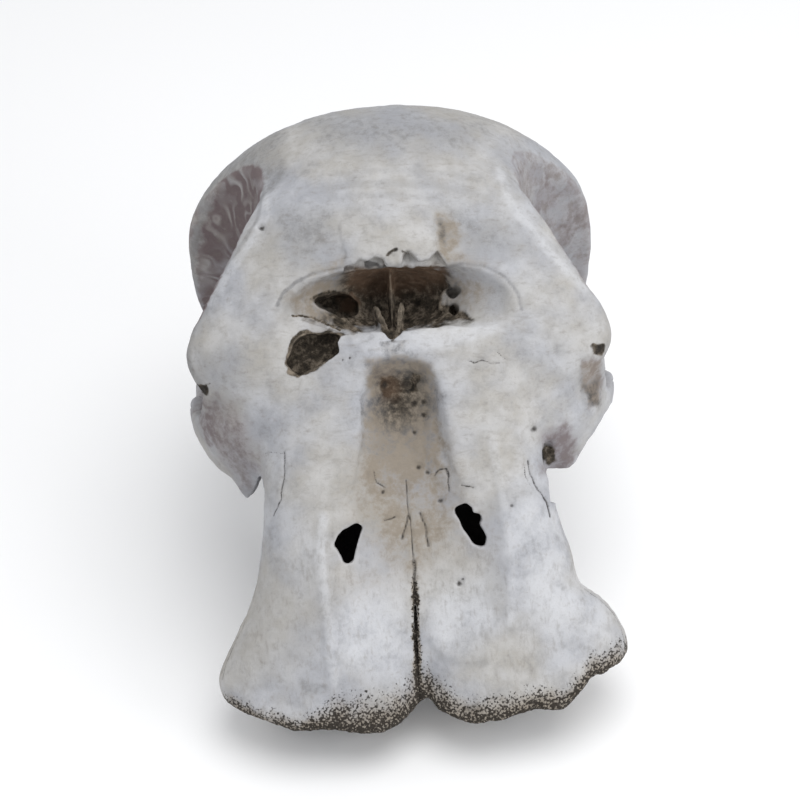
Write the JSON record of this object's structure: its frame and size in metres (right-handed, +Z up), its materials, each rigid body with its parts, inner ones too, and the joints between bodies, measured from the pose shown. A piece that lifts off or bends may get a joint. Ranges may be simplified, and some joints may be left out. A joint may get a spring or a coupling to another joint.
{
  "type": "african elephant skull",
  "caption": "Life-size cranium of an adult African elephant without tusks or lower jaw, at rest on its tusk sockets and jaw, as a still display model.",
  "frame": {"origin": "on the floor under the middle of the skull's bounding box", "axes": "-Y where the face looks, +X the animal's left side, +Z up from the floor that it lies on"},
  "size_m": [0.8096, 1.0458, 0.8753],
  "materials": {
    "bone": "matte",
    "tooth": "satin"
  },
  "bodies": {
    "root": {"braincase": "bone", "face": "bone", "tusk_socket_left": "bone", "tusk_socket_right": "bone", "cheek_arch_left": "bone", "cheek_arch_right": "bone", "upper_jaw": "bone", "neck_joint": "bone", "molar_left": "tooth", "molar_right": "tooth"}
  },
  "joints": []
}
